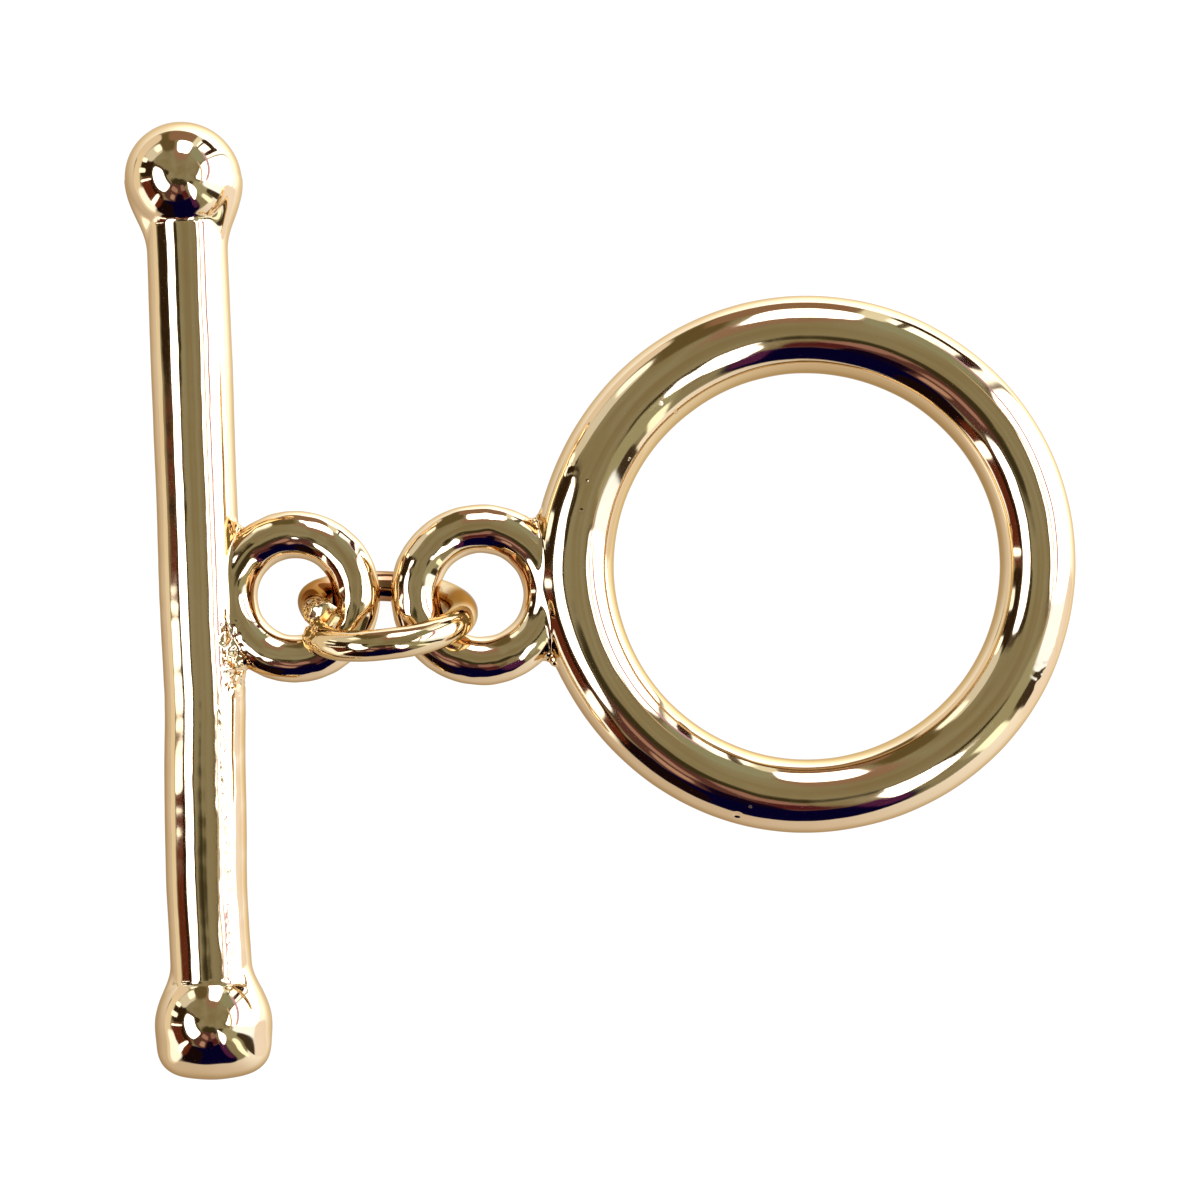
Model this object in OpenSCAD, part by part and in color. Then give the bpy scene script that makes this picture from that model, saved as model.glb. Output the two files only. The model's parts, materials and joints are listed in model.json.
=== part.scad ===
// Toggle clasp of cast, gold-plated metal, laid out flat: a toggle bar, a large ring that the bar
// is pushed through, and the cut jump ring that links their two eyes.
// Millimetres. The clasp lies on z = 0, with +Z up and the bar's ball end towards +Y.
// The origin is the middle of the clasp's outline, on the surface that it lies on.

/* [Toggle bar] */
// Length of the bar over its two ends
bar_len = 24.9; // [20:0.1:32]
// Diameter of the shaft
shaft_d = 2.1; // [1.7:0.05:2.5]
// Diameter of the ball on the bar's upper end
ball_d = 3.1; // [2.8:0.05:4]
// Radius of the hollow neck under the ball
ball_neck_r = 2.3; // [1.2:0.1:3]
// Greatest diameter of the barrel knob on the bar's lower end
knob_d = 3.04; // [2.8:0.02:4]
// Length of the barrel knob
knob_len = 2.46; // [2.1:0.02:3.4]
// Radius that rounds both rims of the knob
knob_edge_r = 1; // [0.6:0.05:1.05]
// Radius of the hollow neck over the knob
knob_neck_r = 1; // [0.6:0.1:2]
// Lean of the bar, its upper end towards -X
bar_lean = 2.15; // [0:0.05:6]

/* [Bar eye] */
// Wire diameter of the eye on the bar
bar_eye_wire = 1.23; // [0.9:0.01:1.5]
// How much wider than the link's wire this eye's hole is
bar_eye_room = 1.19; // [1.1:0.01:1.8]
// How deep the eye's wire sinks into the shaft
bar_eye_sink = 0.72; // [0.4:0.02:0.85]

/* [Toggle ring] */
// Wire diameter of the large ring
ring_wire = 1.97; // [1.4:0.01:2.6]
// Diameter of the opening that the bar goes through
ring_opening = 10.05; // [8:0.05:14]
// Turn of the ring's eye about the ring, downwards from -X
ring_turn = 5.4; // [0:0.1:12]
// How much higher towards +Y the ring's eye lies than the bar's eye
ring_rise = 0.05; // [0:0.01:0.12]

/* [Ring eye] */
// Wire diameter of the eye on the ring
ring_eye_wire = 1.26; // [0.9:0.01:1.5]
// How much wider than the link's wire this eye's hole is
ring_eye_room = 1.37; // [1.25:0.01:2]
// How deep the eye's wire sinks into the ring
ring_eye_sink = 0.85; // [0.5:0.02:1]

/* [Connecting link] */
// Wire diameter of the link
link_wire = 0.8; // [0.6:0.02:0.9]
// Free room inside the link, besides both eyes' wires and the gap between them
link_play = 0.44; // [0.42:0.02:0.8]
// Lean of the standing link from upright, its top towards -Y
link_lean = 18.2; // [14:0.2:22]
// Where the link is cut, round from +X over its top
link_cut = 160; // [145:1:166]
// How far the link's middle lies off the line through the eyes, towards -Y
link_off = 0.45; // [0.35:0.01:0.5]
// Gap between the cut ends along the wire
link_gap = 0.08; // [0.02:0.01:0.2]
// How far the cut ends are sprung apart sideways
link_spring = 0.48; // [0:0.02:0.6]

/* [Solder] */
// Diameter of the lump of solder under the bar's eye
bar_solder_d = 0.9; // [0.6:0.05:1.2]
// Diameter of the beads of solder in the other corners between an eye and its piece
bead_d = 0.5; // [0.4:0.05:0.7]

/* [Clearances] */
// Gap between the outsides of the two eyes
eye_gap = 0.27; // [0.2:0.01:0.4]
// Least gap between the link and an eye
link_clear = 0.06; // [0.04:0.01:0.08]

/* [Hidden] */
$fn = 96;

// Radii of the bar, and its half lengths to the middles of its two ends
shaft_r = shaft_d / 2;
ball_r = ball_d / 2;
knob_r = knob_d / 2;
ball_mid = bar_len / 2 - ball_r;
knob_mid = bar_len / 2 - knob_len / 2;

// Each eye: its hole, the radius of its wire's middle line, and where its middle lies
bar_eye_hole = link_wire + bar_eye_room;
bar_eye_r = (bar_eye_hole + bar_eye_wire) / 2;
bar_eye_at = shaft_r - bar_eye_sink + bar_eye_wire + bar_eye_hole / 2;
ring_eye_hole = link_wire + ring_eye_room;
ring_eye_r = (ring_eye_hole + ring_eye_wire) / 2;
ring_r = (ring_opening + ring_wire) / 2;
ring_eye_at = ring_opening / 2 + ring_wire - ring_eye_sink + ring_eye_wire + ring_eye_hole / 2;

// The link: its hole takes both eyes' wires, side by side
link_hole = bar_eye_wire + eye_gap + ring_eye_wire + link_play;
link_r = (link_hole + link_wire) / 2;
link_hinge = link_cut - 180;
link_swing = asin(link_spring / (4 * link_r));
half_gap = link_gap / 2 / link_r * 180 / PI;

// Height of the link's middle, with the lowest point of its lower half on the surface
hinge_up = sin(link_hinge) * cos(link_lean);
side_up = sin(link_lean);
half_mid_up = link_r * ((1 - cos(link_swing)) * hinge_up + sin(link_swing) * side_up);
half_face_up = side_up * cos(link_swing) + hinge_up * sin(link_swing);
link_z = link_r * sqrt(1 - pow(half_face_up, 2)) - half_mid_up + link_wire / 2;

// Each eye's wire lies in the lower inside of the link, beside the other eye's wire: how far
// that is to the side of the link's middle, and how far below it
wires_apart = bar_eye_wire / 2 + eye_gap + ring_eye_wire / 2;
function aside(other_wire) = (eye_gap + other_wire) / 2;
function drop(wire, other_wire) = cos(link_lean) *
    sqrt(pow((link_hole - wire) / 2 - 2 * link_clear, 2) - pow(aside(other_wire), 2));
bar_eye_z = link_z - drop(bar_eye_wire, ring_eye_wire);
ring_eye_z = link_z - drop(ring_eye_wire, bar_eye_wire);

// The bar lies on its two ends, rolled until its eye reaches that height
bar_z = max(ball_r, knob_r);
bar_roll = asin(max(0, bar_eye_z - bar_z) / (bar_eye_at + bar_eye_r));
// The ring lies on its far edge, tilted until its eye reaches that height
ring_tilt = asin(max(0, ring_eye_z - ring_wire / 2) / (ring_r + ring_eye_at + ring_eye_r));
ring_z = ring_wire / 2 + ring_r * sin(ring_tilt);

// Places in the plane, measured from the middle of the bar
bar_eye_xy = bar_eye_at * cos(bar_roll) * [cos(bar_lean), sin(bar_lean)];
ring_eye_xy = bar_eye_xy
    + [bar_eye_r * cos(bar_roll) + wires_apart + ring_eye_r * cos(ring_tilt), ring_rise];
ring_xy = ring_eye_xy + ring_eye_at * cos(ring_tilt) * [cos(ring_turn), sin(ring_turn)];
link_xy = bar_eye_xy + [bar_eye_r * cos(bar_roll) + aside(ring_eye_wire), ring_rise / 2 - link_off];

// Corners between the outside of an eye and its piece, from the middle of the eye and of the ring
bar_corner_y = sqrt(pow(bar_eye_r + bar_eye_wire / 2, 2) - pow(bar_eye_at - shaft_r, 2));
ring_corner_x = (pow(ring_eye_at, 2) + pow(ring_r + ring_wire / 2, 2)
    - pow(ring_eye_r + ring_eye_wire / 2, 2)) / (2 * ring_eye_at);
ring_corner_y = sqrt(pow(ring_r + ring_wire / 2, 2) - pow(ring_corner_x, 2));

// The outline's reach to each side, and from it the shift that centres the clasp
ring_reach_x = norm([ring_r * cos(ring_tilt) * cos(ring_turn), ring_r * sin(ring_turn)])
    + ring_wire / 2;
ring_reach_y = norm([ring_r * cos(ring_tilt) * sin(ring_turn), ring_r * cos(ring_turn)])
    + ring_wire / 2;
x_low = min(-ball_mid * sin(bar_lean) - ball_r, knob_mid * sin(bar_lean) - knob_r);
x_high = ring_xy.x + ring_reach_x;
knob_reach = (bar_len / 2 - knob_edge_r) * cos(bar_lean) + (knob_r - knob_edge_r) * sin(bar_lean)
    + knob_edge_r;
y_low = min(-knob_reach, ring_xy.y - ring_reach_y);
y_high = max(ball_mid * cos(bar_lean) + ball_r, ring_xy.y + ring_reach_y);
centre = -[(x_low + x_high) / 2, (y_low + y_high) / 2];

// A round-wire ring about Z, r to the middle line of its wire
module wire_ring(r, wire) {
    rotate_extrude() translate([r, 0]) circle(d = wire);
}

// Hollow neck between the shaft and a round of radius r at [x, 0], in the bar's half section
module neck(x, r, neck_r) {
    mid = [shaft_r + neck_r, sqrt(pow(r + neck_r, 2) - pow(shaft_r + neck_r - x, 2))];
    touch = [x, 0] + (mid - [x, 0]) * r / (r + neck_r);
    difference() {
        polygon([[0, 0], [x, 0], touch, mid, [shaft_r, mid.y], [0, mid.y]]);
        translate(mid) circle(neck_r);
    }
}

// The part of a round at [x, 0] that lies on the outer side of the bar's axis
module half_round(x, r) {
    intersection() {
        translate([x, 0]) circle(r);
        translate([0, -r]) square([x + r, 2 * r]);
    }
}

// Ball and its neck, growing from the ball's middle towards the shaft
module ball_section() {
    half_round(0, ball_r);
    neck(0, ball_r, ball_neck_r);
}

// Barrel knob and its neck, growing from the knob's middle towards the shaft
module knob_section() {
    flat = knob_r - knob_edge_r;
    rim = knob_len / 2 - knob_edge_r;
    translate([0, -knob_len / 2]) square([flat, knob_len]);
    translate([0, -rim]) square([knob_r, 2 * rim]);
    for (side = [-1, 1]) translate([0, side * rim]) half_round(flat, knob_edge_r);
    translate([0, rim]) neck(flat, knob_edge_r, knob_neck_r);
}

// The bar's turned form, lying along Y with its ball towards +Y
module bar_body() {
    rotate([-90, 0, 0]) rotate_extrude() {
        translate([0, -knob_mid]) square([shaft_r, knob_mid + ball_mid]);
        translate([0, ball_mid]) mirror([0, 1]) ball_section();
        translate([0, -knob_mid]) knob_section();
    }
}

module toggle_bar() color("#d9bc86")
    translate([centre.x, centre.y, bar_z]) rotate([0, -bar_roll, bar_lean]) {
        bar_body();
        translate([bar_eye_at, 0, 0]) wire_ring(bar_eye_r, bar_eye_wire);
        translate([shaft_r, bar_corner_y, 0]) sphere(d = bead_d);
        translate([shaft_r - bar_solder_d / 4, -bar_corner_y, 0]) sphere(d = bar_solder_d);
    }

module toggle_ring() color("#d9bc86")
    translate([centre.x + ring_xy.x, centre.y + ring_xy.y, ring_z])
    rotate([0, ring_tilt, ring_turn]) {
        wire_ring(ring_r, ring_wire);
        translate([-ring_eye_at, 0, 0]) wire_ring(ring_eye_r, ring_eye_wire);
        for (side = [-1, 1]) translate([-ring_corner_x, side * ring_corner_y, 0]) sphere(d = bead_d);
    }

// Half of the cut link, swung sideways about the wire at the place opposite the cut
module link_half(side) {
    rotate([0, 0, link_hinge]) translate([link_r, 0, 0]) rotate([0, side * link_swing, 0])
        translate([-link_r, 0, 0]) rotate_extrude(angle = side * (180 - half_gap))
        translate([link_r, 0]) circle(d = link_wire);
}

module connecting_link() color("#cfae74")
    translate([centre.x + link_xy.x, centre.y + link_xy.y, link_z])
    rotate([90 + link_lean, 0, 0]) {
        link_half(1);
        link_half(-1);
    }

toggle_bar();
connecting_link();
toggle_ring();
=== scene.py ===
# %% [markdown]
# # A toggle clasp in pale gold plate
# A toggle clasp closes a necklace or a bracelet. The bar is pushed through the large ring
# lengthways, turns across it and can't slip back. Here it lies open on white, seen from above, and
# a cut jump ring links the small eye of the bar to the small eye of the ring.
#
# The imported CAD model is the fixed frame. Each of its three pieces gets a detailed skin in its
# own place, so this lesson first loads the frame and prints where the pieces lie.

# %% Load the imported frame
import json
import math

import bmesh
import bpy
import numpy as np
from mathutils import Matrix, Vector, noise


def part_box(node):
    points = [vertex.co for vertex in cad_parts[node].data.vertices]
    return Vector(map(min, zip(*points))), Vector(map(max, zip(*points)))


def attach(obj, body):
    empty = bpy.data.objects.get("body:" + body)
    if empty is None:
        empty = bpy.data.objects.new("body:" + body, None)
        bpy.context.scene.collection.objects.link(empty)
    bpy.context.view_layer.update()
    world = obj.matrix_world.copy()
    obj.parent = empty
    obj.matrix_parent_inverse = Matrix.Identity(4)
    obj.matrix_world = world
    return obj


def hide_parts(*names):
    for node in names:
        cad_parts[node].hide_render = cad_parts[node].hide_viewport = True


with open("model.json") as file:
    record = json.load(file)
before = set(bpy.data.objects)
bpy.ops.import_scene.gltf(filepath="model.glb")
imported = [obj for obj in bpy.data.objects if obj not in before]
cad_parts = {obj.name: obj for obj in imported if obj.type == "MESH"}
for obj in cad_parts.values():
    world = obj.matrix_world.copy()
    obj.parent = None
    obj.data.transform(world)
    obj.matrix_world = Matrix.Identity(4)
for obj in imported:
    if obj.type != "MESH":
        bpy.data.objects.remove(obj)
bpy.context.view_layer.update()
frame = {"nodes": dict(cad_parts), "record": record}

MM = 0.001
for node_name in sorted(frame["nodes"]):
    low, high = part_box(node_name)
    print(node_name, "from", [round(v / MM, 2) for v in low], "to", [round(v / MM, 2) for v in high])

# %% [markdown]
# ## The camera
# The photograph is a close-up from straight above, taken with a small camera held over the table.
# The arc of the link that stands nearest to the lens looks thicker than it is, which gives the
# distance: about 82 mm. A perspective camera at that distance shows the same.

# %% Camera straight above
PICTURE_WIDTH = 31.2 * MM
FOCUS_HEIGHT = 1.5 * MM
CAMERA_DISTANCE = 82 * MM
AIM = (0.03 * MM, 0.02 * MM)

camera_data = bpy.data.cameras.new("camera")
camera_data.sensor_width = 36
camera_data.lens = 36 * CAMERA_DISTANCE / PICTURE_WIDTH
camera_data.clip_start = 0.005
camera_data.clip_end = 3
camera = bpy.data.objects.new("camera", camera_data)
camera.location = (*AIM, FOCUS_HEIGHT + CAMERA_DISTANCE)
bpy.context.scene.collection.objects.link(camera)
bpy.context.scene.camera = camera
print("camera", round(CAMERA_DISTANCE / MM), "mm over the clasp, lens", round(camera_data.lens, 1), "mm")

# %% [markdown]
# ## Sums that write shader nodes
# A shader is a tree of nodes, and wiring one by hand is long. The small class below wraps a socket,
# so that a sum such as 1 - mask adds its own Math node. Any other node comes from its one method
# node(), which sets the node's settings first and then fills its sockets.

# %% Shader sums
class Socket:
    """An output of a shader node, on which + - * / and ** add Math nodes."""

    def __init__(self, tree, output=None):
        self.tree = tree
        self.output = output

    def node(self, kind, settings=None, inputs=None, output=0):
        made = self.tree.nodes.new(kind)
        for name, setting in (settings or {}).items():
            setattr(made, name, setting)
        for name, value in (inputs or {}).items():
            if isinstance(value, Socket):
                self.tree.links.new(value.output, made.inputs[name])
            else:
                made.inputs[name].default_value = value
        return Socket(self.tree, made.outputs[output] if made.outputs else None)

    def maths(self, operation, *values):
        return self.node("ShaderNodeMath", {"operation": operation}, dict(enumerate(values)))

    def __add__(self, other):
        return self.maths("ADD", self, other)

    def __sub__(self, other):
        return self.maths("SUBTRACT", self, other)

    def __rsub__(self, other):
        return self.maths("SUBTRACT", other, self)

    def __mul__(self, other):
        return self.maths("MULTIPLY", self, other)

    def __truediv__(self, other):
        return self.maths("DIVIDE", self, other)

    def __pow__(self, other):
        return self.maths("POWER", self, other)

    __radd__ = __add__
    __rmul__ = __mul__

    def step(self, start, end):
        """0 before start and 1 after end, with a soft ramp between them; they may be swapped."""
        return self.node(
            "ShaderNodeMapRange",
            {"interpolation_type": "SMOOTHSTEP"},
            {"Value": self, "From Min": start, "From Max": end},
        )

    def mix(self, first, second):
        """The colour first where this is 0 and second where it is 1."""
        return self.node(
            "ShaderNodeMix", {"data_type": "RGBA"}, {0: self, 6: first, 7: second}, output=2
        )


# %% [markdown]
# ## The floor and its light
# The clasp lies on plain white paper, so overexposed in the photograph that its soft shadow is
# washed out. Polished metal has no colour of its own in the shade: it shows what stands around it.
# The floor and the metal are therefore lit apart. A wide soft sun overhead lights the paper, and the
# camera sees it mostly washed out. The metal reflects neither: for it, the world holds the studio
# and the paper below.

# %% White floor and the sun that lights it
FLOOR_REACH = 1.2
WASHED_OUT = 0.82
PAPER_GLOW = 1.12
bm = bmesh.new()
bmesh.ops.create_grid(bm, x_segments=1, y_segments=1, size=FLOOR_REACH)
floor_mesh = bpy.data.meshes.new("floor")
bm.to_mesh(floor_mesh)
bm.free()
floor = bpy.data.objects.new("floor", floor_mesh)
floor.visible_glossy = False
bpy.context.scene.collection.objects.link(floor)

paper = bpy.data.materials.new("white_paper")
paper.use_nodes = True
paper.cycles.emission_sampling = "NONE"
paper.node_tree.nodes.clear()
sheet = Socket(paper.node_tree)
on_paper = sheet.node("ShaderNodeTexCoord", output="Object")
fibre = sheet.node("ShaderNodeTexNoise", inputs={"Vector": on_paper, "Scale": 900, "Detail": 3})
lit_paper = sheet.node(
    "ShaderNodeBsdfPrincipled",
    inputs={
        "Base Color": fibre.mix((0.925, 0.925, 0.925, 1), (0.935, 0.935, 0.935, 1)),
        "Roughness": 0.85,
        "Specular IOR Level": 0.1,
    },
)
washed_paper = sheet.node(
    "ShaderNodeEmission", inputs={"Color": (1, 1, 1, 1), "Strength": PAPER_GLOW}
)
seen_by_camera = sheet.node("ShaderNodeLightPath", output="Is Camera Ray")
seen_paper = sheet.node(
    "ShaderNodeMixShader", inputs={0: seen_by_camera * WASHED_OUT, 1: lit_paper, 2: washed_paper}
)
sheet.node("ShaderNodeOutputMaterial", inputs={"Surface": seen_paper})
floor_mesh.materials.append(paper)

sun_data = bpy.data.lights.new("soft_sun", "SUN")
sun_data.energy = 3.5
sun_data.angle = math.radians(50)
sun = bpy.data.objects.new("soft_sun", sun_data)
sun.visible_glossy = False
bpy.context.scene.collection.objects.link(sun)
print("floor", 2 * FLOOR_REACH, "m wide under a sun of", round(math.degrees(sun_data.angle)), "degrees")

# %% [markdown]
# ## The studio that the metal reflects
# On a polished ball every direction of the room shows once, so the photograph itself tells where
# the lamps stood. Overhead is a dull ceiling. Soft boxes stand north, west and south of the camera,
# a wide window lies to the east, and a dark curtain hangs low in the south. Between them are walls,
# brown in the west, pale in the north-west and grey in the north-east, with smaller lights, posts and
# shelves. Each is a soft-cornered patch of the world, placed by two angles: round from +X, and down
# from the zenith.

# %% The world's directions as two angles
world = bpy.data.worlds.new("studio")
bpy.context.scene.world = world
world.use_nodes = True
world.node_tree.nodes.clear()
world.cycles_visibility.diffuse = False
world.cycles.sampling_method = "NONE"

sky = Socket(world.node_tree)
direction = sky.node("ShaderNodeTexCoord", output="Generated")
split = sky.node("ShaderNodeSeparateXYZ", inputs={"Vector": direction})
east, north, up = (Socket(world.node_tree, split.output.node.outputs[i]) for i in range(3))
round_angle = sky.maths("ARCTAN2", north, east) * (180 / math.pi)
down_angle = sky.maths("ARCCOSINE", up) * (180 / math.pi)

# %% [markdown]
# The paper fills the world below. The real camera leaned a little, so for the metal the paper ends
# higher in the south-east and lower in the north-west. It is brightest on the window's side, about 50
# degrees round from +X, and dim straight down, where the clasp itself shades it.

# %% Ceiling above, paper below
PAPER_RISES_AT = math.radians(310)
PAPER_TILT = math.radians(17)
BRIGHT_SIDE = (0.64, 0.77)
PAPER_AWAY = (0.75, 0.71, 0.72, 1)
PAPER_BETWEEN = (1.3, 1.44, 1.75, 1)
PAPER_BY_WINDOW = (2.2, 2.55, 3.35, 1)
PAPER_SHADED = (0.17, 0.12, 0.08, 1)
CEILING_DARK = (0.27, 0.25, 0.17, 1)
CEILING_PALE = (0.33, 0.345, 0.27, 1)
paper_height = up * math.cos(PAPER_TILT)
paper_height = paper_height - east * (math.cos(PAPER_RISES_AT) * math.sin(PAPER_TILT))
paper_height = paper_height - north * (math.sin(PAPER_RISES_AT) * math.sin(PAPER_TILT))
to_window = east * BRIGHT_SIDE[0] + north * BRIGHT_SIDE[1]
paper_tone = to_window.step(-1, 0.5).mix(PAPER_AWAY, PAPER_BETWEEN)
paper_tone = to_window.step(0.35, 0.85).mix(paper_tone, PAPER_BY_WINDOW)
own_shade = up.step(-0.3, -1.05) * (to_window.step(0.5, -0.6) * 0.42 + 0.08)
paper_tone = own_shade.mix(paper_tone, PAPER_SHADED)
cloud = sky.node("ShaderNodeTexNoise", inputs={"Vector": direction, "Scale": 2.2, "Detail": 2})
ceiling_tone = cloud.step(0.35, 0.7).mix(CEILING_DARK, CEILING_PALE)
studio_light = paper_height.step(-0.03, -0.09).mix(ceiling_tone, paper_tone)

# %% Soft-cornered patches of light and shade
# What it is: round and down angles of its middle, half sizes, how much it slants, softness, colour.
LAMP = (3.5, 3.9, 5.2)
STUDIO = [
    ("darker ceiling round the camera", 262, 13, 62, 8, 0, 0.8, (0.05, 0.045, 0.022)),
    ("brown half light in the south", 258, 34, 36, 18, 0, 0.4, (0.12, 0.055, 0.06)),
    ("rosy streak in the south-west", 246, 27, 13, 4.5, 0.1, 0.8, (0.44, 0.28, 0.28)),
    ("rosy spots in the south-west", 247, 42, 6, 5, 0, 0.8, (0.55, 0.38, 0.36)),
    ("rosy streak in the south", 283, 22, 10, 6, 0, 0.8, (0.36, 0.22, 0.23)),
    ("maroon beam in the south", 285, 35, 8, 6, 0, 0.6, (0.1, 0.02, 0.03)),
    ("dark curtain's peak", 267, 46, 11, 13, 0, 0.6, (0.006, 0.002, 0.02)),
    ("dark curtain", 265, 66, 40, 19, -0.18, 0.25, (0.002, 0.001, 0.045)),
    ("dark curtain's edge", 240, 72, 14, 15, 0, 0.4, (0.01, 0.004, 0.006)),
    ("violet hem of the curtain", 298, 55, 5, 14, 0, 0.7, (0.09, 0.02, 0.11)),
    ("brown wall in the west", 204, 67, 26, 18, 0, 0.35, (0.14, 0.034, 0.018)),
    ("dark rail on the brown wall", 204, 57, 24, 4, 0, 0.6, (0.03, 0.012, 0.008)),
    ("dark door jamb", 164, 70, 15, 17, 0, 0.4, (0.035, 0.02, 0.01)),
    ("shade beside the west lamp", 164, 30, 11, 8, 0, 0.7, (0.04, 0.034, 0.016)),
    ("shade beside the south lamp", 330, 24, 11, 7, 0.3, 0.7, (0.06, 0.05, 0.022)),
    ("lighter wall in the south-east", 333, 46, 16, 19, 0, 0.6, (0.42, 0.46, 0.36)),
    ("grey wall in the north-east", 54, 60, 15, 13, 0, 0.6, (0.34, 0.4, 0.33)),
    ("warm haze over the north lamp", 86, 48, 17, 15, 0, 0.9, (0.34, 0.24, 0.2)),
    ("olive wall in the north", 110, 80, 11, 25, 0, 0.7, (0.15, 0.125, 0.06)),
    ("pale wall in the north-west", 137, 73, 15, 13, 0.1, 0.35, (0.85, 0.92, 0.98)),
    ("brighter edge of the pale wall", 127, 74, 6, 8, 0, 0.7, (1.7, 1.9, 2.2)),
    ("paper low in the north-west", 136, 99, 20, 12, 0, 0.3, (0.97, 0.94, 0.95)),
    ("brown shelf under the north lamp", 90, 92, 17, 14, 0, 0.6, (0.32, 0.21, 0.16)),
    ("light beside the shelf", 69, 87, 4, 16, 0, 0.6, (1.0, 1.1, 1.1)),
    ("white strip low in the north-east", 52, 84, 14, 14, 0.2, 0.3, (2.2, 2.5, 3.0)),
    ("post in the north-east", 47, 88, 2.5, 18, 0, 0.4, (0.05, 0.015, 0.02)),
    ("second post in the north-east", 62, 82, 1.3, 12, 0, 0.5, (0.1, 0.08, 0.05)),
    ("dark table in the north-east", 56, 98, 10, 6, 0, 0.4, (0.05, 0.03, 0.015)),
    ("paper low in the west", 186, 97, 42, 9, 0, 0.4, (1.0, 0.98, 0.92)),
    ("lights low in the west", 209, 90, 18, 9, 0, 0.6, (1.5, 1.7, 2.1)),
    ("light in the door", 168, 82, 3.5, 9, 0, 0.5, (1.7, 1.9, 2.2)),
    ("light beside the door", 153, 82, 3, 7, 0, 0.5, (1.9, 2.1, 2.4)),
    ("lamp on the brown wall", 183.5, 72, 1.6, 14, 0, 0.5, (2.4, 2.6, 3.0)),
    ("second lamp on the brown wall", 218, 71, 3.5, 14, 0, 0.5, (2.4, 2.6, 3.0)),
    ("white spot in the south-east", 323, 68, 4, 13, 0, 0.6, (1.5, 1.75, 1.8)),
    ("dark case in the south-east", 336, 78, 5.5, 20, 0, 0.4, (0.06, 0.045, 0.03)),
    ("dark frame of the west soft box", 189, 39.5, 39, 15.5, -0.15, 0.3, (0.07, 0.055, 0.035)),
    ("north soft box", 83, 64, 12.5, 15.5, 0, 0.14, LAMP),
    ("west soft box", 190, 39.5, 34, 11.5, -0.15, 0.14, LAMP),
    ("south soft box", 313, 34, 12.5, 12, -0.65, 0.14, LAMP),
    ("dark frame of the east window", 16, 77, 24.5, 43, 0.5, 0.25, (0.11, 0.09, 0.05)),
    ("white wall beside the east window", 350, 74, 10, 28, 0, 0.4, (1.4, 1.75, 2.5)),
    ("east window", 16, 78, 22.5, 41, 0.5, 0.12, LAMP),
    ("upper bar across the east window", 14, 44, 30, 1.8, 0.1, 0.6, (0.75, 0.68, 0.6)),
    ("lower bar across the east window", 24, 62, 30, 2.8, 0.35, 0.6, (0.7, 0.5, 0.85)),
    ("paper under the window's corner", 344, 109, 15, 17, 0.3, 0.4, (1.15, 1.18, 1.4)),
]

for patch_name, middle_round, middle_down, half_round, half_down, slant, soft, colour in STUDIO:
    across = sky.maths("WRAP", round_angle - middle_round, 180, -180)
    along = down_angle - middle_down
    if slant:
        along = along - across * slant
    across = across * (1 / half_round)
    along = along * (1 / half_down)
    across = across * across
    along = along * along
    mask = (across * across + along * along).step(1 + soft, 1 - soft)
    studio_light = mask.mix(studio_light, (*colour, 1))
print("studio of", len(STUDIO), "patches")

# %% The world shows the studio to the metal and plain white to the camera
to_metal = sky.node("ShaderNodeBackground", inputs={"Color": studio_light})
to_camera = sky.node("ShaderNodeBackground", inputs={"Color": (0.96, 0.96, 0.96, 1)})
is_camera = sky.node("ShaderNodeLightPath", output="Is Camera Ray")
background = sky.node("ShaderNodeMixShader", inputs={0: is_camera, 1: to_metal, 2: to_camera})
sky.node("ShaderNodeOutputWorld", inputs={"Surface": background})

bpy.context.scene.view_settings.view_transform = "Standard"
bpy.context.scene.view_settings.look = "None"

# %% [markdown]
# ## Fields: a shape as a sum
# The real bar and ring are castings: every join runs into the next form in one soft skin. A field
# is a sum that says how far a point is outside a form, so the form is where the field is nought.
# Two fields run together with a hollow join when their lesser value is rounded off. A rough mesh is
# made of spun and round shapes first, remeshed into one even skin, and then settled on the field.

# %% Fields
def soft_rise(value):
    """0 up to nought, 1 from one on, and a smooth rise between."""
    value = np.clip(value, 0, 1)
    return value * value * (3 - 2 * value)


def soft_join(first, second, width):
    """The lesser of two fields, with a hollow fillet of about this width where they meet."""
    near = np.maximum(width - np.abs(first - second), 0)
    return np.minimum(first, second) - near**2 / (4 * width)


def wire_ring_field(points, middle, ring_r, wire_r):
    """Distance to a ring of round wire about Z."""
    x, y, z = (points - middle).T
    return np.hypot(np.hypot(x, y) - ring_r, z) - wire_r


def lump_field(points, middle, radius):
    """Distance to a ball."""
    return np.linalg.norm(points - middle, axis=1) - radius


def speckle(points, size):
    """Smooth random values of about -1 to 1 with bumps of this size."""
    return np.array([noise.noise(Vector(point) / size) for point in points])


def field_slope(field, points, reach=0.002):
    """Which way, and how steeply, a field grows at each point."""
    slope = np.empty_like(points)
    for axis in range(3):
        step = np.zeros(3)
        step[axis] = reach
        slope[:, axis] = (field(points + step) - field(points - step)) / (2 * reach)
    return slope


def way_out(field, points):
    """Which way is out of the form at each point, as a step of length one."""
    slope = field_slope(field, points)
    return slope / np.linalg.norm(slope, axis=1, keepdims=True)


# %% [markdown]
# ## From rough shapes to one skin
# The pieces are modelled in millimetres, because a voxel remesh can't go finer than a tenth of
# Blender's unit, and shrunk to metres at the end. The skin's points are evened out with
# smooth_vert, settled on the field, and last moved by the soft waves that a polished casting keeps.

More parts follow.
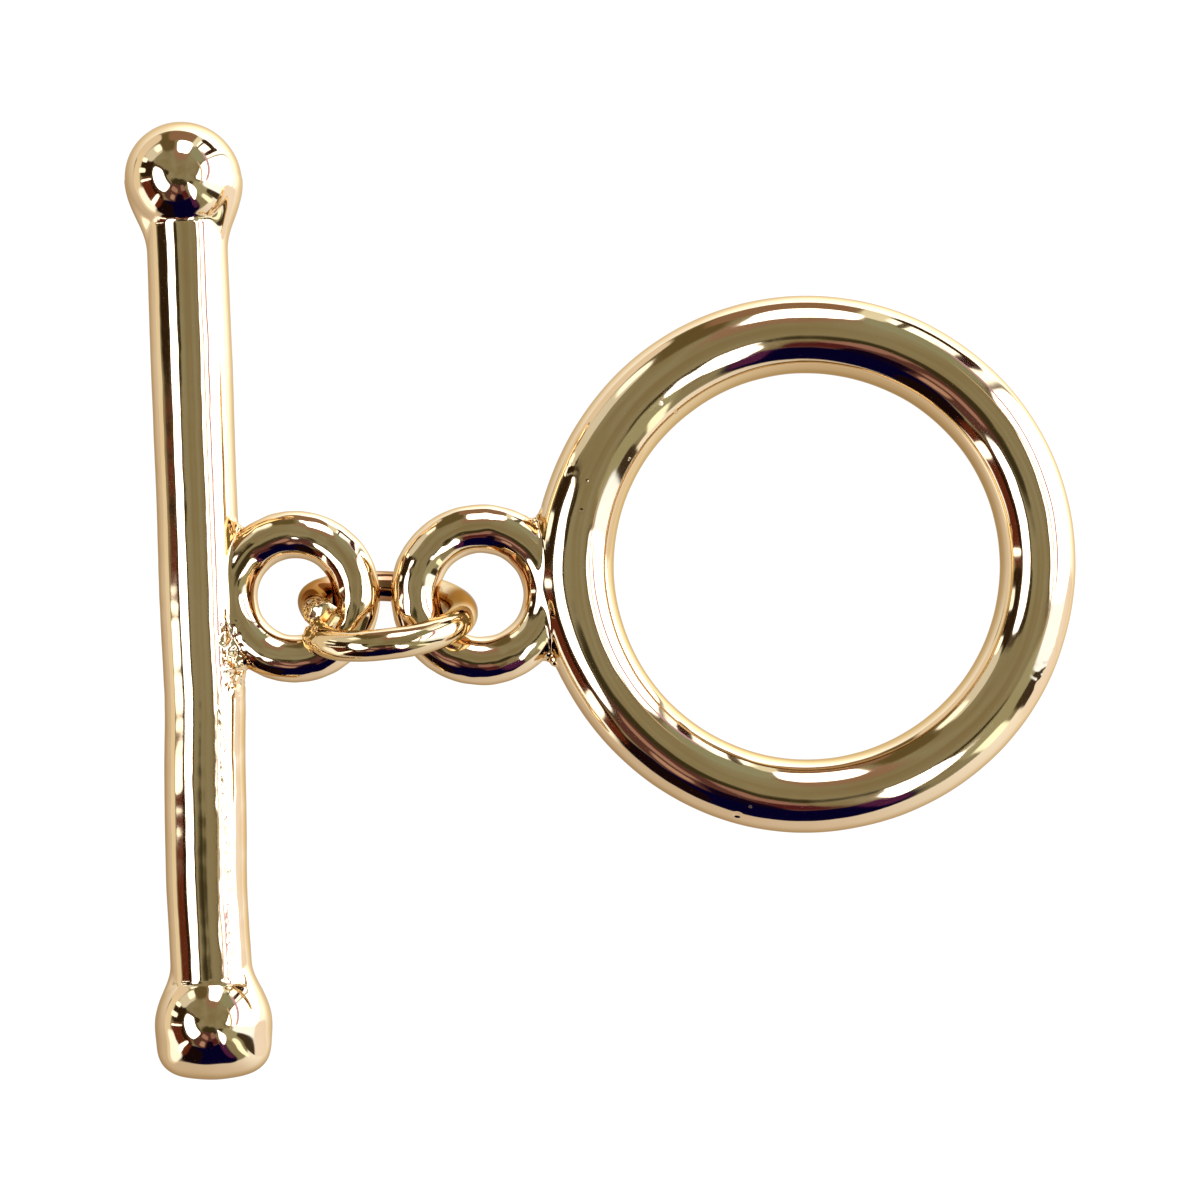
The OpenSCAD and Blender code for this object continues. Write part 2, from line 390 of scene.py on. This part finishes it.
# %% A ring of wire
def add_wire_ring(bm, middle, ring_r, wire_r, segments, steps):
    """Spins a circle of wire about Z into a closed ring, whose middle is at this x."""
    circle = bmesh.ops.create_circle(
        bm, segments=segments, radius=wire_r,
        matrix=Matrix.Translation((middle + ring_r, 0, 0)) @ Matrix.Rotation(math.pi / 2, 4, "X"),
    )["verts"]
    bmesh.ops.spin(
        bm, geom=circle + list(dict.fromkeys(e for v in circle for e in v.link_edges)),
        cent=(middle, 0, 0), axis=(0, 0, 1), angle=2 * math.pi, steps=steps, use_merge=True,
    )


# %% Skin, settle and finish
def even_skin(name, bm, voxel):
    """One object with an even skin of small faces over all the closed forms in bm."""
    rough = bpy.data.meshes.new(name)
    bm.to_mesh(rough)
    bm.free()
    piece = bpy.data.objects.new(name, rough)
    bpy.context.scene.collection.objects.link(piece)
    remesh = piece.modifiers.new("skin", "REMESH")
    remesh.mode = "VOXEL"
    remesh.voxel_size = voxel
    graph = bpy.context.evaluated_depsgraph_get()
    skin = bpy.data.meshes.new_from_object(piece.evaluated_get(graph))
    piece.modifiers.clear()
    piece.data = skin
    bpy.data.meshes.remove(rough)
    return piece


def refine(piece, spots):
    """Halves the faces near some spots, each (point, radius), where finer detail is to come."""
    bm = bmesh.new()
    bm.from_mesh(piece.data)
    close = [
        e for e in bm.edges
        if any((e.verts[0].co - Vector(point)).length < radius for point, radius in spots)
    ]
    bmesh.ops.subdivide_edges(bm, edges=close, cuts=1, use_grid_fill=True)
    bm.to_mesh(piece.data)
    bm.free()


def get_points(mesh):
    flat = np.empty(len(mesh.vertices) * 3, np.float32)
    mesh.vertices.foreach_get("co", flat)
    return flat.reshape(-1, 3).astype(float)


def set_points(mesh, points):
    mesh.vertices.foreach_set("co", points.astype(np.float32).ravel())
    mesh.update()


def settle(piece, field, rounds=3):
    """Evens out the skin and lays it on the field, a few times over."""
    for _ in range(rounds):
        bm = bmesh.new()
        bm.from_mesh(piece.data)
        bmesh.ops.smooth_vert(
            bm, verts=bm.verts[:], factor=0.5, use_axis_x=True, use_axis_y=True, use_axis_z=True
        )
        bm.to_mesh(piece.data)
        bm.free()
        points = get_points(piece.data)
        for _ in range(3):
            slope = field_slope(field, points)
            steepness = (slope**2).sum(1, keepdims=True)
            points -= field(points)[:, None] * slope / np.maximum(steepness, 0.2)
        set_points(piece.data, points)


def soft_waves(points, seed):
    """Height in mm of the waves that casting and polishing leave, from three sizes of noise."""
    moved = points + np.array((seed * 7.3, seed * 3.1, 0))
    return 0.013 * speckle(moved, 3.4) + 0.006 * speckle(moved, 1.4) + 0.0024 * speckle(moved, 0.6)


def dents(points, spots):
    """Depth in mm of small dents; each spot is (point, radius, depth)."""
    depth = np.zeros(len(points))
    for point, radius, deep in spots:
        gap = np.linalg.norm(points - np.array(point), axis=1) / radius
        depth = np.maximum(depth, deep * soft_rise(1.4 - 1.4 * gap))
    return depth


def placed(spots, placement):
    """The same spots, each (point, radius), where a piece's placement takes them."""
    return [(tuple(placement @ Vector(point)), radius) for point, radius in spots]


def finish_piece(piece, placement, node_name, material):
    """Puts a finished piece in its place, in metres, with its material, under the root body, and hides the
    CAD part it stands for.
    """
    piece.data.transform(Matrix.Diagonal((MM, MM, MM, 1)) @ placement)
    piece.data.shade_smooth()
    piece.data.materials.clear()
    piece.data.materials.append(material)
    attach(piece, "root")
    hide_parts(node_name)
    corners = get_points(piece.data)
    low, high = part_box(node_name)
    print(piece.name, len(piece.data.polygons), "faces; beyond its CAD box, in mm:",
          (np.maximum(np.array(low) - corners.min(0), 0) / MM).round(3),
          (np.maximum(corners.max(0) - np.array(high), 0) / MM).round(3))


# %% [markdown]
# ## Pale gold plate
# The plate is a bright, pale gold over brass, polished like a mirror. What makes it look real is
# what isn't perfect: a faint orange peel, pinholes of the casting, and a film that is duller and
# deeper in tone here and there. Shade is painted into the colour as well: a deeper tone in the
# corners, along the east side of the shaft, inside the large ring and deep inside the link's eyes.
# The pattern scales count from metres, so the peel's bumps are about 0.3 mm apart.

# %% Tones and pattern scales of the plate
TONE = (0.79, 0.59, 0.345)
FILM_AND_SHADE_TONE = (0.7, 0.46, 0.21)
HOLE_SHADE_TONE = (0.68, 0.47, 0.225)
HOLE_SHADE_FADE = 1.018
EDGE_TONE = (0.74, 0.58, 0.38)
FILM_SCALE = 420
PEEL_SCALE = 3200
GRAIN_SCALE = 9000
PIT_SCALE = 900
PIT_CLUSTER_SCALE = 260
SOLDER_SCALE = 5200
BUMP_UNIT = 0.001 * MM


# %% Gold plate
def gold_plate(name, tone, film_and_shade_tone, roughness, corners=(), rough_spots=(), depth=0.75, shaded_hole=None):
    """A plated finish with painted shade, a deeper tone near the corners spots and inside the hole; these
    and rough_spots are (point, radius) in mm.
    """
    gold = bpy.data.materials.new(name)
    gold.use_nodes = True
    gold.node_tree.nodes.clear()
    at = Socket(gold.node_tree)
    place = at.node("ShaderNodeTexCoord", output="Object")

    def near(spots):
        mask = None
        for point, radius in spots:
            centre = tuple(v * MM for v in point)
            gap = at.node(
                "ShaderNodeVectorMath", {"operation": "DISTANCE"}, {0: place, 1: centre}, output="Value"
            )
            spot = gap.step(radius * MM, radius * MM * 0.4)
            mask = spot if mask is None else at.maths("MAXIMUM", mask, spot)
        return mask

    film = at.node("ShaderNodeTexNoise", inputs={"Vector": place, "Scale": FILM_SCALE, "Detail": 4})
    peel = at.node("ShaderNodeTexNoise", inputs={"Vector": place, "Scale": PEEL_SCALE, "Detail": 2})
    grain = at.node("ShaderNodeTexNoise", inputs={"Vector": place, "Scale": GRAIN_SCALE, "Detail": 3})
    cells = at.node(
        "ShaderNodeTexVoronoi", {"feature": "F1"}, {"Vector": place, "Scale": PIT_SCALE, "Randomness": 1}
    )
    chance = at.node(
        "ShaderNodeTexNoise", inputs={"Vector": place, "Scale": PIT_CLUSTER_SCALE, "Detail": 1}
    ).step(0.61, 0.66)
    pits = cells.step(0.07, 0.03) * chance

    film_and_painted_shade = film.step(0.35, 0.75) * 0.3
    # Painted shade: near the corners spots the colour goes over to the deeper tone, as strongly as depth
    # says.
    if corners:
        film_and_painted_shade = at.maths("MAXIMUM", film_and_painted_shade, near(corners) * depth)
    colour = film_and_painted_shade.mix((*tone, 1), (*film_and_shade_tone, 1))
    # Painted shade: a deeper tone inside the hole, measured across the flat and fading out at its rim.
    if shaded_hole:
        (hole_x, hole_y, _), hole_r = shaded_hole
        flat = at.node("ShaderNodeVectorMath", {"operation": "MULTIPLY"}, {0: place, 1: (1, 1, 0)})
        from_middle = at.node(
            "ShaderNodeVectorMath", {"operation": "DISTANCE"}, {0: flat, 1: (hole_x * MM, hole_y * MM, 0)},
            output="Value",
        )
        colour = from_middle.step(hole_r * MM * HOLE_SHADE_FADE, hole_r * MM).mix(colour, (*HOLE_SHADE_TONE, 1))
    dull = film * 0.03 + roughness + pits * 0.25
    height = peel * 0.35 + grain * 0.06 - pits * 4
    if rough_spots:
        lumps = at.node(
            "ShaderNodeTexNoise", inputs={"Vector": place, "Scale": SOLDER_SCALE, "Detail": 3}
        )
        height = height + near(rough_spots) * lumps * 14
        dull = dull + near(rough_spots) * 0.08
    bump = at.node("ShaderNodeBump", inputs={"Strength": 1, "Distance": BUMP_UNIT, "Height": height})
    shader = at.node(
        "ShaderNodeBsdfPrincipled",
        inputs={
            "Base Color": colour,
            "Metallic": 1,
            "Roughness": dull,
            "Specular Tint": (*EDGE_TONE, 1),
            "Normal": bump,
        },
    )
    at.node("ShaderNodeOutputMaterial", inputs={"Surface": shader})
    return gold


# %% [markdown]
# ## The toggle bar
# On the real clasp the bar is one casting: a round shaft, a ball on one end, a barrel knob on the
# other, and an eye of round wire on its side. It was finished by hand: seen from above, the ball and
# the knob flare into the shaft at its sides only, and meet it in a crisp line on top. The knob is a
# dome that was pressed square at its end. Turned work starts as half of its outline, spun about the
# axis. The eye is a circle spun into a ring. Solder ran out in the corners of the eye, and most of
# it lies in grains on the shaft.

# %% Values of the toggle bar, in mm, as in the CAD source
SHAFT_R = 1.052
BALL_R = 1.515
BALL_AT = 10.92
KNOB_DOME_R = 1.492
KNOB_DOME_AT = -10.93
KNOB_R = 1.5
KNOB_HALF = 1.12
KNOB_AT = -11.3
KNOB_SQUARE = 3
FLARE = 0.6
KNOB_FLARE = 0.3
CRISP = 0.05
PRESSED_HOLLOW = 0.12
EYE_HOLLOW = 0.09
SOLDER_HOLLOW = 0.1
BAR_EYE_AT = 2.555
BAR_EYE_R = 1.61
BAR_EYE_WIRE_R = 0.615
BAR_MIDDLE = (-10.421, 0.0096, 1.55)
BAR_LEAN = math.radians(2.15)
BAR_ROLL = math.radians(4.7214)
BAR_PLACE = (
    Matrix.Translation(BAR_MIDDLE) @ Matrix.Rotation(BAR_LEAN, 4, "Z") @ Matrix.Rotation(-BAR_ROLL, 4, "Y")
)
eye_now = BAR_PLACE @ Vector((BAR_EYE_AT, 0, 0))
eye_cad = Vector(frame["record"]["mounts"][0]["pos_m"]) / MM
print("bar eye is", round((eye_now - eye_cad).length, 4), "mm from the record's")


# %% Field of the toggle bar
def wander(y):
    """How far the shaft strays sideways from a straight line, as the real one does."""
    stray = 0.074 * np.exp(-(((y - 3.6) / 7.6) ** 8)) + 0.03 * np.exp(-(((y + 2.6) / 1.1) ** 2))
    return stray - 0.05 * np.exp(-(((y + 7.5) / 1.5) ** 2))


def bar_field(points):
    """The shaft, a ball and a pressed dome that flare at their sides only, the eye and its solder."""
    x, y, z = points.T
    x_turned = x - wander(y)
    across = np.hypot(x_turned, z)
    side = soft_rise((x_turned**2 / np.maximum(across**2, 1e-9) - 0.5) / 0.46)
    shaft = across - SHAFT_R - 0.006 * np.sin(y * 1.1 + 1)
    ball = np.hypot(across, y - BALL_AT) - BALL_R
    square = (np.abs(x_turned) / KNOB_R) ** KNOB_SQUARE + (np.abs(y - KNOB_AT) / KNOB_HALF) ** KNOB_SQUARE
    barrel = (np.hypot(square ** (1 / KNOB_SQUARE), z / 1.27) - 1) * 1.25
    dome = np.hypot(across, y - KNOB_DOME_AT) - KNOB_DOME_R
    high_end = np.where(y > BALL_AT, ball, soft_join(shaft, ball, CRISP + FLARE * side))
    low_end = np.where(y < KNOB_DOME_AT, dome, soft_join(shaft, dome, CRISP + KNOB_FLARE * side))
    low_end = soft_join(low_end, barrel, PRESSED_HOLLOW)
    turned = np.where(y > 0, high_end, low_end)
    eye = wire_ring_field(points, (BAR_EYE_AT, 0, 0), BAR_EYE_R, BAR_EYE_WIRE_R)
    body = soft_join(turned, eye, EYE_HOLLOW)
    for middle, radius in BAR_SOLDER:
        body = soft_join(body, lump_field(points, middle, radius), SOLDER_HOLLOW)
    return body


BAR_SOLDER = [
    ((1.08, 1.74, 0.0), 0.2),
    ((1.0, 1.98, 0.12), 0.13),
    ((1.02, -1.6, 0.16), 0.32),
    ((1.02, -1.98, 0.16), 0.2),
    ((0.9, -1.28, 0.46), 0.2),
    ((0.97, -2.3, 0.14), 0.15),
    ((0.78, -1.78, 0.6), 0.16),
    ((0.72, -1.06, 0.66), 0.14),
]

# %% Rough form of the toggle bar
BAR_VOXEL = 0.064
OUTLINE = [
    (0, BALL_AT + BALL_R), (0.8, 12.2), (1.32, 11.66), (1.52, 10.9), (1.4, 10.2), (1.18, 9.6), (1.07, 9),
    (1.05, -9), (1.15, -9.8), (1.4, -10.5), (1.5, -11.25), (1.42, -11.95), (0.95, -12.35), (0, -12.43),
]
bm = bmesh.new()
outline = [bm.verts.new((across, along, 0)) for across, along in OUTLINE]
for first, second in zip(outline, outline[1:]):
    bm.edges.new((first, second))
bmesh.ops.spin(
    bm, geom=bm.verts[:] + bm.edges[:], cent=(0, 0, 0), axis=(0, 1, 0), angle=2 * math.pi,
    steps=48, use_merge=True,
)
add_wire_ring(bm, BAR_EYE_AT, BAR_EYE_R, BAR_EYE_WIRE_R, segments=24, steps=64)
for middle, radius in BAR_SOLDER:
    bmesh.ops.create_icosphere(bm, subdivisions=2, radius=radius, matrix=Matrix.Translation(middle))
bmesh.ops.remove_doubles(bm, verts=bm.verts[:], dist=1e-5)
bmesh.ops.recalc_face_normals(bm, faces=bm.faces[:])
print("rough bar:", len(bm.faces), "faces, open edges:", sum(e.is_boundary for e in bm.edges))
toggle_bar = even_skin("gold_toggle_bar", bm, BAR_VOXEL)

# %% Settle the toggle bar
BAR_FINE = [((0.9, -1.0, 0.5), 0.75), ((0.95, -1.9, 0.35), 0.8), ((1.05, 1.75, 0.2), 0.45)]
SEAM = [((0.73, -0.3 * step, 0.76), 0.3) for step in range(8, 32)]
settle(toggle_bar, bar_field)
refine(toggle_bar, BAR_FINE + SEAM)
settle(toggle_bar, bar_field, rounds=1)
print("settled bar:", len(toggle_bar.data.polygons), "faces")

# %% Wave and grain the toggle bar; all heights are in mm
GRAIN_HEIGHT = 0.05
SEAM_HEIGHT = 0.02
EYE_BUMPS = 0.011
RIPPLE_HEIGHT = 0.004
SHAFT_BUMPS = 0.0018
BUMP_SIZE = 0.36
points = get_points(toggle_bar.data)
x, y, z = points.T
run = np.exp(-(((y + 1.5) / 0.92) ** 6)) * soft_rise((x - 0.72) / 0.13) * soft_rise((1.35 - x) / 0.2)
run *= soft_rise((z + 0.4) / 0.3)
web = dents(points, [((1.06, 1.78, 0.15), 0.5, 1.0)])
grains = np.maximum(speckle(points, 0.19), -0.2) + 0.25 * speckle(points, 0.1)
seam = np.exp(-(((y + 6.2) / 3.6) ** 8)) * (z > 0)
seam *= np.exp(-(((x - 0.7 - 0.05 * speckle(points * (0, 1, 0), 0.8)) / 0.055) ** 2))
ripple = np.exp(-(((y - 1) / 6) ** 6)) * np.exp(-(((x + 0.86) / 0.12) ** 2)) * (z > 0)
on_eye = soft_rise((x - 1.3) / 0.4)
height = soft_waves(points, 1) + GRAIN_HEIGHT * np.maximum(run, 0.5 * web) * grains
height += (RIPPLE_HEIGHT * ripple + EYE_BUMPS * on_eye + SHAFT_BUMPS) * speckle(points, BUMP_SIZE)
height += SEAM_HEIGHT * seam * (speckle(points, 0.15) + 0.3)
set_points(toggle_bar.data, points + way_out(bar_field, points) * height[:, None])

# %% Plate the toggle bar
CAST_ROUGHNESS = 0.045
# Painted shade: a deeper tone in the corners of the eye and along the east side of the shaft towards the
# knob.
BAR_SHADE_SPOTS = [((1.15, 1.6, 0), 0.7), ((1.15, -1.7, 0), 0.85)]
BAR_SHADE_SPOTS += [((1.35, along, -0.2), 1.0) for along in (-3.4, -4.7, -6, -7.3, -8.6)]
ROUGH_SOLDER = [((1.0, along, 0.3), 0.4) for along in (-0.9, -1.4, -1.9, -2.3)]
bar_gold = gold_plate(
    "cast_gold_bar", TONE, FILM_AND_SHADE_TONE, CAST_ROUGHNESS,
    placed(BAR_SHADE_SPOTS, BAR_PLACE), placed(ROUGH_SOLDER, BAR_PLACE),
)
finish_piece(toggle_bar, BAR_PLACE, "toggle_bar", bar_gold)

# %% [markdown]
# ## The toggle ring
# The ring is round wire of nearly 2 mm, closed, with its own small eye. Both are circles spun into
# rings. They run into each other in a thin web, with a bead of solder in each corner. The real ring
# isn't quite round, and its wire isn't quite even, so the field strays a little on its way round.

# %% Values and field of the toggle ring, in mm
RING_R = 6.01
RING_WIRE_R = 0.985
RING_EYE_AT = 8.49
RING_EYE_R = 1.715
RING_EYE_WIRE_R = 0.63
RING_PLACE = (
    Matrix.Translation((5.3943, 0.9529, 1.3228))
    @ Matrix.Rotation(math.radians(5.4), 4, "Z")
    @ Matrix.Rotation(math.radians(3.222), 4, "Y")
)
RING_SOLDER = [
    ((-6.9, 1.66, 0.05), 0.2),
    ((-6.72, 1.9, 0.15), 0.12),
    ((-6.9, -1.66, 0.05), 0.22),
    ((-6.76, -1.9, 0.2), 0.13),
]
RING_WEB = 0.16
eye_now = RING_PLACE @ Vector((-RING_EYE_AT, 0, 0))
eye_cad = Vector(frame["record"]["mounts"][1]["pos_m"]) / MM
print("ring eye is", round((eye_now - eye_cad).length, 4), "mm from the record's")


def ring_field(points):
    """The hoop, thicker in the north and a little out of round, webbed to its eye, with solder."""
    x, y, z = points.T
    round_turn = np.arctan2(y, x)
    long_x = x - 0.0063 * np.maximum(x + 7, 0)
    out = np.hypot(long_x, y) - RING_R
    web = 1 + RING_WEB * np.exp(-(((np.abs(round_turn) - math.pi) / 0.3) ** 2))
    wire_r = RING_WIRE_R + 0.028 * np.sin(round_turn)
    out = out - 0.03 * soft_rise(-np.sin(round_turn)) + 0.025 * soft_rise(np.sin(round_turn) * 1.5 - 0.5)
    hoop = np.hypot(np.where(out > 0, out / web, out), z) - wire_r
    eye = wire_ring_field(points, (-RING_EYE_AT, 0, 0), RING_EYE_R, RING_EYE_WIRE_R)
    body = soft_join(hoop, eye, EYE_HOLLOW)
    for middle, radius in RING_SOLDER:
        body = soft_join(body, lump_field(points, middle, radius), SOLDER_HOLLOW)
    return body


# %% Rough form of the toggle ring
RING_VOXEL = 0.066
bm = bmesh.new()
add_wire_ring(bm, 0, RING_R, RING_WIRE_R, segments=32, steps=128)
add_wire_ring(bm, -RING_EYE_AT, RING_EYE_R, RING_EYE_WIRE_R, segments=32, steps=64)
for middle, radius in RING_SOLDER:
    bmesh.ops.create_icosphere(bm, subdivisions=2, radius=radius, matrix=Matrix.Translation(middle))
bmesh.ops.recalc_face_normals(bm, faces=bm.faces[:])
print("rough ring:", len(bm.faces), "faces, open edges:", sum(e.is_boundary for e in bm.edges))
toggle_ring = even_skin("gold_toggle_ring", bm, RING_VOXEL)

# %% Settle the toggle ring
RING_FINE = [((-6.85, 1.8, 0.2), 0.5), ((-6.85, -1.8, 0.2), 0.5)]
RING_TORN = [((5.76, -3.56, 0.6), 0.55), ((6.2, -2.7, 0.6), 0.45), ((-5.9, 2.9, 0.7), 0.3)]
RING_PITS = [
    ((-5.534, 2.628, 0.97), 0.065, 0.022),
    ((-5.76, 1.9, 0.97), 0.06, 0.02),
    ((-2.46, -6.28, 0.62), 0.14, 0.03),
]
settle(toggle_ring, ring_field)
refine(toggle_ring, RING_FINE + RING_TORN + [(point, 0.3) for point, _, _ in RING_PITS])
settle(toggle_ring, ring_field, rounds=1)
print("settled ring:", len(toggle_ring.data.polygons), "faces")

# %% Wave, grain, tear and pit the toggle ring
TORN_HEIGHT = 0.012
HOOP_BUMPS = 0.0008
points = get_points(toggle_ring.data)
solder = dents(points, [((-6.85, 1.78, 0.1), 0.5, 1.0), ((-6.85, -1.78, 0.1), 0.5, 1.0)])
grains = np.maximum(speckle(points, 0.15), -0.1) + 0.4 * speckle(points, 0.08)
on_eye = soft_rise((-points[:, 0] - 7.1) / 0.4)
height = soft_waves(points, 2) + GRAIN_HEIGHT * solder * grains
height += (EYE_BUMPS * on_eye + HOOP_BUMPS) * speckle(points, BUMP_SIZE)
torn = dents(points, [(point, radius, 1.0) for point, radius in RING_TORN])
height += TORN_HEIGHT * torn * speckle(points, 0.2) - dents(points, RING_PITS)
set_points(toggle_ring.data, points + way_out(ring_field, points) * height[:, None])

# %% Plate the toggle ring
# Painted shade: a deeper tone in the corners of the eye and inside the large ring's hole.
RING_SHADE_SPOTS = [((-6.85, 1.62, 0), 0.7), ((-6.85, -1.62, 0), 0.7)]
RING_SHADED_HOLE = ((0, 0, 0), 5.15)
ring_gold = gold_plate(
    "cast_gold_ring", TONE, FILM_AND_SHADE_TONE, CAST_ROUGHNESS,
    placed(RING_SHADE_SPOTS, RING_PLACE), shaded_hole=placed([RING_SHADED_HOLE], RING_PLACE)[0],
)
finish_piece(toggle_ring, RING_PLACE, "toggle_ring", ring_gold)

# %% [markdown]
# ## The connecting link
# A jump ring is a turn of thin wire, sawn or pinched off its coil. This one stands nearly on edge
# through both eyes, and its cut ends are sprung a little apart sideways. It is a circle of wire
# spun almost all the way round. The ends are capped, bevelled and inset to blunt tips, which the
# cutter nicked. Each half leans aside and curls in the further it is from the place opposite the
# cut. Deep inside the eyes and along the far arc below, where little light comes, shade is painted
# into the plate as a deep brown.

# %% Values of the link, in mm
LINK_R = 2.0
LINK_WIRE_R = 0.4
LINK_HINGE = math.radians(-20)
LINK_HALF_GAP = math.radians(1.146)
LINK_SWING = 0.06
FRONT_CURL = 0.17
BACK_CURL = 0.4
FRONT_ASIDE = 0.16
BACK_ASIDE = 0.18
NICK_DEPTH = 0.16
END_BEVEL = 0.05
TIP_INSET = 0.09
TIP_STEP = 0.03
LINK_PLACE = Matrix.Translation((-5.507, -0.32, 2.276)) @ Matrix.Rotation(math.radians(108.2), 4, "X")

# %% Wire of the link
bm = bmesh.new()
start_angle = LINK_HINGE - math.pi + LINK_HALF_GAP
to_cut = Matrix.Rotation(start_angle, 4, "Z") @ Matrix.Translation((LINK_R, 0, 0))
circle = bmesh.ops.create_circle(
    bm, segments=40, radius=LINK_WIRE_R, matrix=to_cut @ Matrix.Rotation(math.pi / 2, 4, "X")
)["verts"]
bmesh.ops.spin(
    bm, geom=circle + list(dict.fromkeys(e for v in circle for e in v.link_edges)),
    cent=(0, 0, 0), axis=(0, 0, 1), angle=2 * (math.pi - LINK_HALF_GAP), steps=260,
)
ends = bmesh.ops.holes_fill(bm, edges=[e for e in bm.edges if e.is_boundary], sides=0)["faces"]
bmesh.ops.recalc_face_normals(bm, faces=bm.faces[:])
for face in ends:
    bmesh.ops.bevel(
        bm, geom=face.edges[:], offset=END_BEVEL, offset_type="OFFSET", segments=3, profile=0.5,
        affect="EDGES", material=-1, clamp_overlap=True,
    )
print("link:", len(bm.faces), "faces, open edges:", sum(e.is_boundary for e in bm.edges))

# %% Blunt tips: the two caps are the only faces of more than a tenth of a square millimetre
tip_faces = [f for f in bm.faces if f.calc_area() > 0.1]
for face in tip_faces:
    for _ in range(2):
        bmesh.ops.inset_individual(bm, faces=[face], thickness=TIP_INSET, depth=TIP_STEP)
    bmesh.ops.poke(bm, faces=[face], offset=0.02)
print("link with tips:", len(bm.faces), "faces")


# %% Spring and curl the link, by how far each point is from the place opposite the cut
def toward_cut(begin):
    """0 up to this many degrees from the hinge, rising to 1 at the cut."""
    return soft_rise((from_hinge - begin) / (180 - begin))


points = np.array([v.co[:] for v in bm.verts])
turn = (np.arctan2(points[:, 1], points[:, 0]) - LINK_HINGE + math.pi) % (2 * math.pi) - math.pi
from_hinge = np.degrees(np.abs(turn))
front = turn > 0
curl = np.where(front, FRONT_CURL * toward_cut(115), BACK_CURL * toward_cut(138))
aside = np.where(front, 1, -1) * LINK_SWING * LINK_R * (1 - np.cos(turn))
aside += np.where(front, FRONT_ASIDE * toward_cut(95), BACK_ASIDE * toward_cut(130))
inward = -points * (1, 1, 0) / np.hypot(points[:, 0], points[:, 1])[:, None]
nicked = soft_rise((from_hinge - 157) / 12) * (speckle(points, 0.16) + 0.5 * speckle(points, 0.08))
moved = points + inward * curl[:, None] + (0, 0, 1) * aside[:, None]
core = np.stack([np.cos(turn + LINK_HINGE), np.sin(turn + LINK_HINGE), 0 * turn], 1) * LINK_R
from_core = points - core
swell = NICK_DEPTH * nicked + 0.012 * speckle(points, 0.5) + 0.006 * speckle(points, 0.22)
moved += from_core * swell[:, None]
for vert, new_co in zip(bm.verts, moved):
    vert.co = new_co

# %% Place and plate the link
link_mesh = bpy.data.meshes.new("gold_link")
bm.to_mesh(link_mesh)
bm.free()
link = bpy.data.objects.new("gold_link", link_mesh)
bpy.context.scene.collection.objects.link(link)
for piece_name, placement, field in (("bar", BAR_PLACE, bar_field), ("ring", RING_PLACE, ring_field)):
    seen_from = np.array(placement.inverted() @ LINK_PLACE)
    there = moved @ seen_from[:3, :3].T + seen_from[:3, 3]
    print("least gap between the link and the", piece_name, round(field(there).min(), 3), "mm")
LINK_TONE = (0.78, 0.58, 0.31)
LINK_SHADE_TONE = (0.3, 0.125, 0.05)
LINK_ROUGHNESS = 0.06
# Painted shade: a deep brown deep inside each eye and on the far arc below.
LINK_SHADE = [((-7.25, 0.2, 2.0), 1.05), ((-3.5, -0.1, 2.1), 1.05), ((-5.5, 0.35, 0.35), 0.88)]
link_gold = gold_plate("wire_gold", LINK_TONE, LINK_SHADE_TONE, LINK_ROUGHNESS, LINK_SHADE, depth=1)
finish_piece(link, LINK_PLACE, "connecting_link", link_gold)
